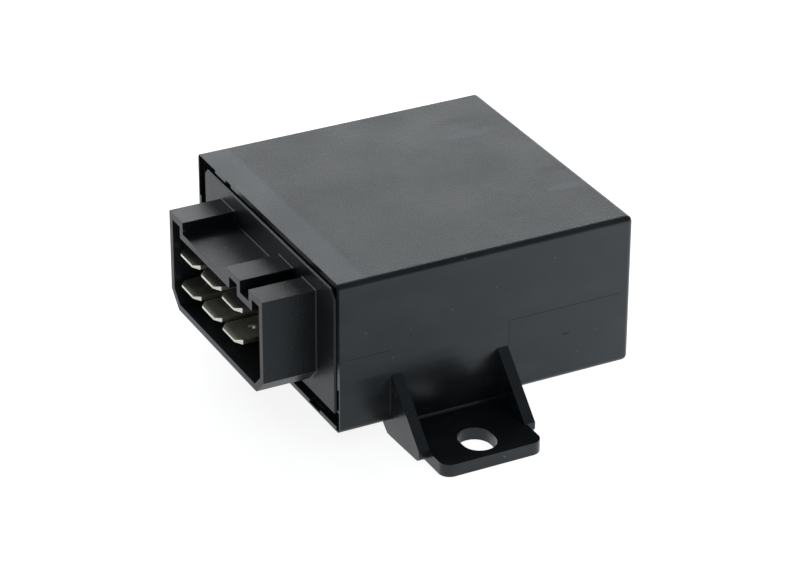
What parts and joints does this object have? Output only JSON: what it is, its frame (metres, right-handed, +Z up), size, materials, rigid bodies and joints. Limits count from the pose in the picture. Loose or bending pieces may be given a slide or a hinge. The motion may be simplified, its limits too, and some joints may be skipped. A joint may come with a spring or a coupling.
{
  "type": "plug in relay",
  "caption": "Plug in timer relay: flat black case with a slotted screw foot, a keyed blade-terminal shroud on its open end, and a circuit board with an open hinged-armature relay inside.",
  "frame": {"origin": "middle of the base of the bounding box, in the plane of the screw foot's underside", "axes": "+Z up through the large top face, -Y out of the connector end, +X towards the screw foot"},
  "size_m": [0.0652, 0.0594, 0.0282],
  "materials": {
    "case_plastic": "fine moulded grain on top, smoother satin sides, black",
    "plug_plastic": "smooth satin moulded, black",
    "tinned_brass": "dull tin plate, brighter on the cut edges",
    "tinned_pin": "bright tin plate",
    "board_laminate": "green lacquered glass laminate",
    "relay_plastic": "smooth moulded, black",
    "bobbin_plastic": "smooth moulded, ivory",
    "copper_wire": "lacquered copper wire in close turns",
    "magnet_iron": "bright plated soft iron",
    "spring_bronze": "rolled spring bronze",
    "contact_silver": "silver contact metal",
    "arm_brass": "stamped brass",
    "chip_epoxy": "moulded epoxy, black",
    "resistor_lacquer": "tan lacquer with plain colour rings",
    "resistor_ceramic": "grey-green cement coat",
    "capacitor_sleeve": "dark blue shrink sleeve",
    "capacitor_film": "red moulded box",
    "varistor_coat": "blue dipped coat"
  },
  "bodies": {
    "case": {"housing": "case_plastic"},
    "insert": {"plug_base": "plug_plastic", "circuit_board": "board_laminate", "relay_base": "relay_plastic", "coil_bobbin": "bobbin_plastic", "coil_winding": "copper_wire", "core": "magnet_iron", "yoke": "magnet_iron", "make_contact": "contact_silver", "break_contact": "contact_silver", "make_contact_arm": "arm_brass", "break_contact_arm": "arm_brass", "coil_pin_1": "tinned_pin", "coil_pin_2": "tinned_pin", "timer_chip": "chip_epoxy", "driver_transistor": "chip_epoxy", "reverse_diode": "chip_epoxy", "flyback_diode": "chip_epoxy", "timing_resistor": "resistor_lacquer", "gate_resistor": "resistor_lacquer", "supply_resistor": "resistor_lacquer", "dropper_resistor": "resistor_ceramic", "reservoir_capacitor": "capacitor_sleeve", "film_capacitor": "capacitor_film", "surge_varistor": "varistor_coat", "blade_lower_1": "tinned_brass", "blade_lower_2": "tinned_brass", "blade_lower_3": "tinned_brass", "blade_upper_1": "tinned_brass", "blade_upper_2": "tinned_brass", "blade_upper_3": "tinned_brass"},
    "armature": {"armature": "magnet_iron", "contact_spring": "spring_bronze", "moving_contact": "contact_silver"}
  },
  "joints": [
    {"name": "insert_slide", "type": "slide", "parent": "case", "child": "insert", "axis": [0, -1, 0], "range_m": [0, 0.046]},
    {"name": "armature_hinge", "type": "hinge", "parent": "insert", "child": "armature", "pos_m": [-0.0182, 0.01928, 0.0206], "axis": [1, 0, 0], "range_deg": [0, 4], "stiffness_Nm_per_rad": 0.012, "springref_deg": -8.59}
  ]
}
